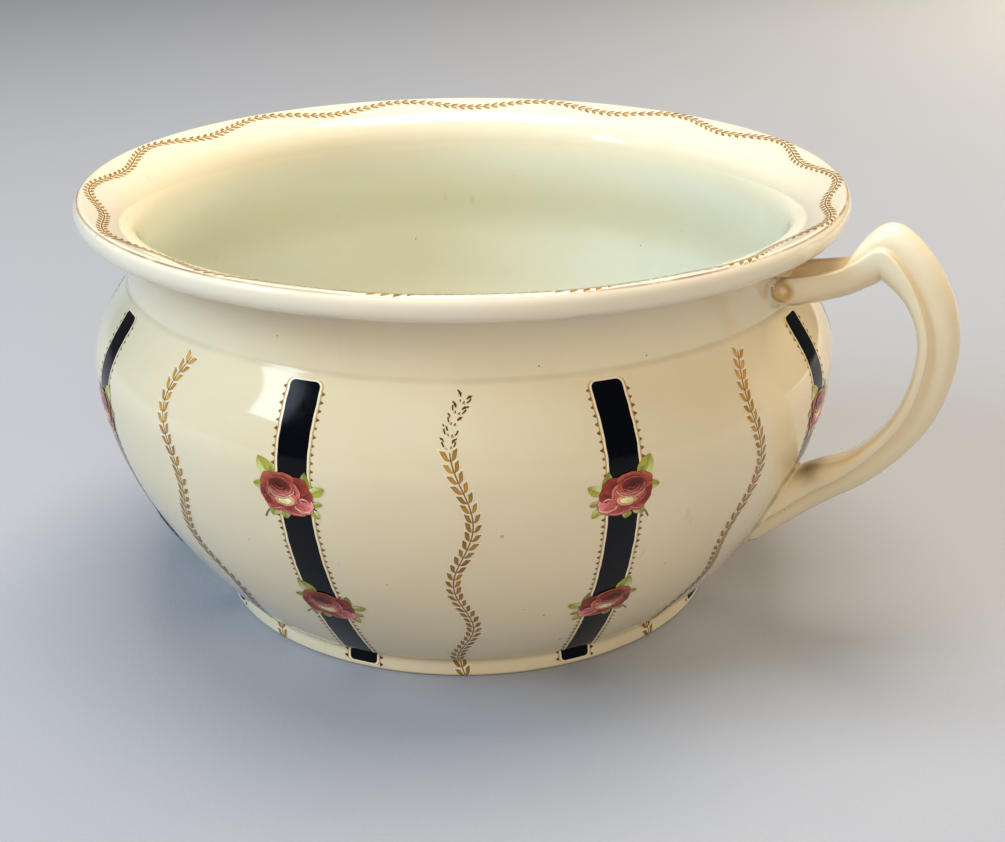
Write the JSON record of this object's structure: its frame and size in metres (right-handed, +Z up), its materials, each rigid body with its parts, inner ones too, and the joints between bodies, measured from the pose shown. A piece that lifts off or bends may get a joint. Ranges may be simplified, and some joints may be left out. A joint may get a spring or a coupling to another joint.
{
  "type": "chamber pot",
  "caption": "Round-bellied glazed earthenware chamber pot with a rolled rim, an ear-shaped side handle and printed ribbon, rose and laurel transfers.",
  "frame": {"origin": "on the pot's axis, in the plane that the foot ring stands on", "axes": "+Z up along the pot's axis, +X from the axis towards the handle, +Y completes a right-handed frame"},
  "size_m": [0.2755, 0.2378, 0.1335],
  "materials": {
    "body_glaze": "glossy",
    "handle_glaze": "glossy",
    "ribbon_enamel": "glossy",
    "rose_enamel": "glossy",
    "laurel_gilt": "satin"
  },
  "bodies": {
    "root": {"bowl": "body_glaze", "handle": "handle_glaze", "rim_garland": "laurel_gilt", "ribbon_1": "ribbon_enamel", "ribbon_2": "ribbon_enamel", "ribbon_3": "ribbon_enamel", "ribbon_4": "ribbon_enamel", "ribbon_5": "ribbon_enamel", "ribbon_6": "ribbon_enamel", "ribbon_7": "ribbon_enamel", "ribbon_8": "ribbon_enamel", "ribbon_end": "ribbon_enamel", "upper_rose_1": "rose_enamel", "upper_rose_2": "rose_enamel", "upper_rose_3": "rose_enamel", "upper_rose_4": "rose_enamel", "upper_rose_5": "rose_enamel", "upper_rose_6": "rose_enamel", "upper_rose_7": "rose_enamel", "upper_rose_8": "rose_enamel", "lower_rose_2": "rose_enamel", "lower_rose_3": "rose_enamel", "lower_rose_4": "rose_enamel", "lower_rose_5": "rose_enamel", "lower_rose_6": "rose_enamel", "lower_rose_7": "rose_enamel", "lower_rose_8": "rose_enamel", "laurel_trail_1": "laurel_gilt", "laurel_trail_2": "laurel_gilt", "laurel_trail_3": "laurel_gilt", "laurel_trail_4": "laurel_gilt", "laurel_trail_5": "laurel_gilt", "laurel_trail_6": "laurel_gilt", "laurel_trail_7": "laurel_gilt", "laurel_trail_8": "laurel_gilt"}
  },
  "joints": []
}
